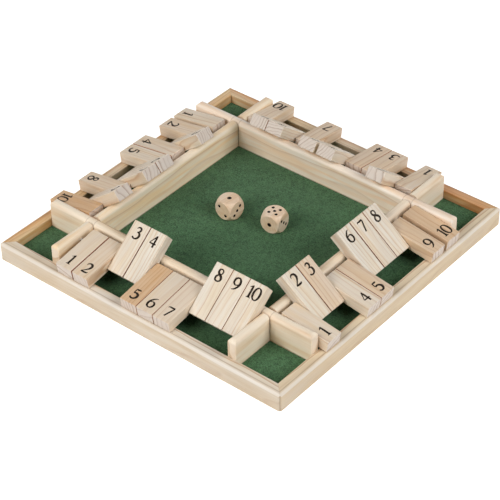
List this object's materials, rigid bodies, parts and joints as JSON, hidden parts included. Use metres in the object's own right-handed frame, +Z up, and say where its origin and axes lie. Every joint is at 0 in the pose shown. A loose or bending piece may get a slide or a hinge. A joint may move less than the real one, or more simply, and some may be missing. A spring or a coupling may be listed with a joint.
{
  "type": "shut the box game",
  "caption": "Square wooden board with a felt-lined dice tray in its middle and a row of numbered flip tiles on a rod along each side, for shut the box with several players.",
  "frame": {"origin": "centre of the board on the surface it stands on, under the rails", "axes": "+Z up, -Y towards the front row of tiles, +X towards the right row of tiles"},
  "size_m": [0.3, 0.3, 0.0527],
  "materials": {
    "rail_pine": "satin",
    "wall_pine": "satin",
    "base_wood": "matte",
    "felt": "matte",
    "rod_steel": "satin",
    "tile_pine": "satin",
    "die_wood": "satin"
  },
  "bodies": {
    "board": {"base_board": "base_wood", "felt_sheet": "felt", "rail_front": "rail_pine", "rail_right": "rail_pine", "rail_back": "rail_pine", "rail_left": "rail_pine", "wall_front": "wall_pine", "wall_right": "wall_pine", "wall_back": "wall_pine", "wall_left": "wall_pine", "rod_front": "rod_steel", "rod_right": "rod_steel", "rod_back": "rod_steel", "rod_left": "rod_steel"},
    "tile_front_1": {"tile_front_1": "tile_pine"},
    "tile_front_2": {"tile_front_2": "tile_pine"},
    "tile_front_3": {"tile_front_3": "tile_pine"},
    "tile_front_4": {"tile_front_4": "tile_pine"},
    "tile_front_5": {"tile_front_5": "tile_pine"},
    "tile_front_6": {"tile_front_6": "tile_pine"},
    "tile_front_7": {"tile_front_7": "tile_pine"},
    "tile_front_8": {"tile_front_8": "tile_pine"},
    "tile_front_9": {"tile_front_9": "tile_pine"},
    "tile_front_10": {"tile_front_10": "tile_pine"},
    "tile_right_1": {"tile_right_1": "tile_pine"},
    "tile_right_2": {"tile_right_2": "tile_pine"},
    "tile_right_3": {"tile_right_3": "tile_pine"},
    "tile_right_4": {"tile_right_4": "tile_pine"},
    "tile_right_5": {"tile_right_5": "tile_pine"},
    "tile_right_6": {"tile_right_6": "tile_pine"},
    "tile_right_7": {"tile_right_7": "tile_pine"},
    "tile_right_8": {"tile_right_8": "tile_pine"},
    "tile_right_9": {"tile_right_9": "tile_pine"},
    "tile_right_10": {"tile_right_10": "tile_pine"},
    "tile_back_1": {"tile_back_1": "tile_pine"},
    "tile_back_2": {"tile_back_2": "tile_pine"},
    "tile_back_3": {"tile_back_3": "tile_pine"},
    "tile_back_4": {"tile_back_4": "tile_pine"},
    "tile_back_5": {"tile_back_5": "tile_pine"},
    "tile_back_6": {"tile_back_6": "tile_pine"},
    "tile_back_7": {"tile_back_7": "tile_pine"},
    "tile_back_8": {"tile_back_8": "tile_pine"},
    "tile_back_9": {"tile_back_9": "tile_pine"},
    "tile_back_10": {"tile_back_10": "tile_pine"},
    "tile_left_1": {"tile_left_1": "tile_pine"},
    "tile_left_2": {"tile_left_2": "tile_pine"},
    "tile_left_3": {"tile_left_3": "tile_pine"},
    "tile_left_4": {"tile_left_4": "tile_pine"},
    "tile_left_5": {"tile_left_5": "tile_pine"},
    "tile_left_6": {"tile_left_6": "tile_pine"},
    "tile_left_7": {"tile_left_7": "tile_pine"},
    "tile_left_8": {"tile_left_8": "tile_pine"},
    "tile_left_9": {"tile_left_9": "tile_pine"},
    "tile_left_10": {"tile_left_10": "tile_pine"},
    "die_left": {"die_left": "die_wood"},
    "die_right": {"die_right": "die_wood"}
  },
  "joints": [
    {"name": "tile_front_1_swing", "type": "hinge", "parent": "board", "child": "tile_front_1", "pos_m": [0, -0.11355, 0.0274], "axis": [-1, 0, 0], "range_deg": [0, 131]},
    {"name": "tile_front_2_swing", "type": "hinge", "parent": "board", "child": "tile_front_2", "pos_m": [0, -0.11355, 0.0274], "axis": [-1, 0, 0], "range_deg": [0, 150.6]},
    {"name": "tile_front_3_swing", "type": "hinge", "parent": "board", "child": "tile_front_3", "pos_m": [0, -0.11355, 0.0274], "axis": [-1, 0, 0], "range_deg": [-150.6, 0]},
    {"name": "tile_front_4_swing", "type": "hinge", "parent": "board", "child": "tile_front_4", "pos_m": [0, -0.11355, 0.0274], "axis": [-1, 0, 0], "range_deg": [-150.6, 0]},
    {"name": "tile_front_5_swing", "type": "hinge", "parent": "board", "child": "tile_front_5", "pos_m": [0, -0.11355, 0.0274], "axis": [-1, 0, 0], "range_deg": [0, 150.6]},
    {"name": "tile_front_6_swing", "type": "hinge", "parent": "board", "child": "tile_front_6", "pos_m": [0, -0.11355, 0.0274], "axis": [-1, 0, 0], "range_deg": [0, 150.6]},
    {"name": "tile_front_7_swing", "type": "hinge", "parent": "board", "child": "tile_front_7", "pos_m": [0, -0.11355, 0.0274], "axis": [-1, 0, 0], "range_deg": [0, 150.6]},
    {"name": "tile_front_8_swing", "type": "hinge", "parent": "board", "child": "tile_front_8", "pos_m": [0, -0.11355, 0.0274], "axis": [-1, 0, 0], "range_deg": [-150.6, 0]},
    {"name": "tile_front_9_swing", "type": "hinge", "parent": "board", "child": "tile_front_9", "pos_m": [0, -0.11355, 0.0274], "axis": [-1, 0, 0], "range_deg": [-150.6, 0]},
    {"name": "tile_front_10_swing", "type": "hinge", "parent": "board", "child": "tile_front_10", "pos_m": [0, -0.11355, 0.0274], "axis": [-1, 0, 0], "range_deg": [-150.6, 0]},
    {"name": "tile_right_1_swing", "type": "hinge", "parent": "board", "child": "tile_right_1", "pos_m": [0.11355, 0, 0.0274], "axis": [0, -1, 0], "range_deg": [0, 131]},
    {"name": "tile_right_2_swing", "type": "hinge", "parent": "board", "child": "tile_right_2", "pos_m": [0.11355, 0, 0.0274], "axis": [0, -1, 0], "range_deg": [-150.6, 0]},
    {"name": "tile_right_3_swing", "type": "hinge", "parent": "board", "child": "tile_right_3", "pos_m": [0.11355, 0, 0.0274], "axis": [0, -1, 0], "range_deg": [-150.6, 0]},
    {"name": "tile_right_4_swing", "type": "hinge", "parent": "board", "child": "tile_right_4", "pos_m": [0.11355, 0, 0.0274], "axis": [0, -1, 0], "range_deg": [0, 150.6]},
    {"name": "tile_right_5_swing", "type": "hinge", "parent": "board", "child": "tile_right_5", "pos_m": [0.11355, 0, 0.0274], "axis": [0, -1, 0], "range_deg": [0, 150.6]},
    {"name": "tile_right_6_swing", "type": "hinge", "parent": "board", "child": "tile_right_6", "pos_m": [0.11355, 0, 0.0274], "axis": [0, -1, 0], "range_deg": [-150.6, 0]},
    {"name": "tile_right_7_swing", "type": "hinge", "parent": "board", "child": "tile_right_7", "pos_m": [0.11355, 0, 0.0274], "axis": [0, -1, 0], "range_deg": [-150.6, 0]},
    {"name": "tile_right_8_swing", "type": "hinge", "parent": "board", "child": "tile_right_8", "pos_m": [0.11355, 0, 0.0274], "axis": [0, -1, 0], "range_deg": [-150.6, 0]},
    {"name": "tile_right_9_swing", "type": "hinge", "parent": "board", "child": "tile_right_9", "pos_m": [0.11355, 0, 0.0274], "axis": [0, -1, 0], "range_deg": [0, 150.6]},
    {"name": "tile_right_10_swing", "type": "hinge", "parent": "board", "child": "tile_right_10", "pos_m": [0.11355, 0, 0.0274], "axis": [0, -1, 0], "range_deg": [0, 150.6]},
    {"name": "tile_back_1_swing", "type": "hinge", "parent": "board", "child": "tile_back_1", "pos_m": [0, 0.11355, 0.0274], "axis": [1, 0, 0], "range_deg": [0, 131]},
    {"name": "tile_back_2_swing", "type": "hinge", "parent": "board", "child": "tile_back_2", "pos_m": [0, 0.11355, 0.0274], "axis": [1, 0, 0], "range_deg": [-150.6, 0]},
    {"name": "tile_back_3_swing", "type": "hinge", "parent": "board", "child": "tile_back_3", "pos_m": [0, 0.11355, 0.0274], "axis": [1, 0, 0], "range_deg": [0, 150.6]},
    {"name": "tile_back_4_swing", "type": "hinge", "parent": "board", "child": "tile_back_4", "pos_m": [0, 0.11355, 0.0274], "axis": [1, 0, 0], "range_deg": [0, 150.6]},
    {"name": "tile_back_5_swing", "type": "hinge", "parent": "board", "child": "tile_back_5", "pos_m": [0, 0.11355, 0.0274], "axis": [1, 0, 0], "range_deg": [-150.6, 0]},
    {"name": "tile_back_6_swing", "type": "hinge", "parent": "board", "child": "tile_back_6", "pos_m": [0, 0.11355, 0.0274], "axis": [1, 0, 0], "range_deg": [-150.6, 0]},
    {"name": "tile_back_7_swing", "type": "hinge", "parent": "board", "child": "tile_back_7", "pos_m": [0, 0.11355, 0.0274], "axis": [1, 0, 0], "range_deg": [0, 150.6]},
    {"name": "tile_back_8_swing", "type": "hinge", "parent": "board", "child": "tile_back_8", "pos_m": [0, 0.11355, 0.0274], "axis": [1, 0, 0], "range_deg": [-150.6, 0]},
    {"name": "tile_back_9_swing", "type": "hinge", "parent": "board", "child": "tile_back_9", "pos_m": [0, 0.11355, 0.0274], "axis": [1, 0, 0], "range_deg": [-150.6, 0]},
    {"name": "tile_back_10_swing", "type": "hinge", "parent": "board", "child": "tile_back_10", "pos_m": [0, 0.11355, 0.0274], "axis": [1, 0, 0], "range_deg": [0, 150.6]},
    {"name": "tile_left_1_swing", "type": "hinge", "parent": "board", "child": "tile_left_1", "pos_m": [-0.11355, 0, 0.0274], "axis": [0, 1, 0], "range_deg": [0, 131]},
    {"name": "tile_left_2_swing", "type": "hinge", "parent": "board", "child": "tile_left_2", "pos_m": [-0.11355, 0, 0.0274], "axis": [0, 1, 0], "range_deg": [0, 150.6]},
    {"name": "tile_left_3_swing", "type": "hinge", "parent": "board", "child": "tile_left_3", "pos_m": [-0.11355, 0, 0.0274], "axis": [0, 1, 0], "range_deg": [-150.6, 0]},
    {"name": "tile_left_4_swing", "type": "hinge", "parent": "board", "child": "tile_left_4", "pos_m": [-0.11355, 0, 0.0274], "axis": [0, 1, 0], "range_deg": [0, 150.6]},
    {"name": "tile_left_5_swing", "type": "hinge", "parent": "board", "child": "tile_left_5", "pos_m": [-0.11355, 0, 0.0274], "axis": [0, 1, 0], "range_deg": [0, 150.6]},
    {"name": "tile_left_6_swing", "type": "hinge", "parent": "board", "child": "tile_left_6", "pos_m": [-0.11355, 0, 0.0274], "axis": [0, 1, 0], "range_deg": [-150.6, 0]},
    {"name": "tile_left_7_swing", "type": "hinge", "parent": "board", "child": "tile_left_7", "pos_m": [-0.11355, 0, 0.0274], "axis": [0, 1, 0], "range_deg": [-150.6, 0]},
    {"name": "tile_left_8_swing", "type": "hinge", "parent": "board", "child": "tile_left_8", "pos_m": [-0.11355, 0, 0.0274], "axis": [0, 1, 0], "range_deg": [0, 150.6]},
    {"name": "tile_left_9_swing", "type": "hinge", "parent": "board", "child": "tile_left_9", "pos_m": [-0.11355, 0, 0.0274], "axis": [0, 1, 0], "range_deg": [-150.6, 0]},
    {"name": "tile_left_10_swing", "type": "hinge", "parent": "board", "child": "tile_left_10", "pos_m": [-0.11355, 0, 0.0274], "axis": [0, 1, 0], "range_deg": [0, 150.6]},
    {"name": "die_left_lift", "type": "slide", "parent": "board", "child": "die_left", "axis": [0, 0, 1], "range_m": [0, 0.06]},
    {"name": "die_right_lift", "type": "slide", "parent": "board", "child": "die_right", "axis": [0, 0, 1], "range_m": [0, 0.06]}
  ]
}
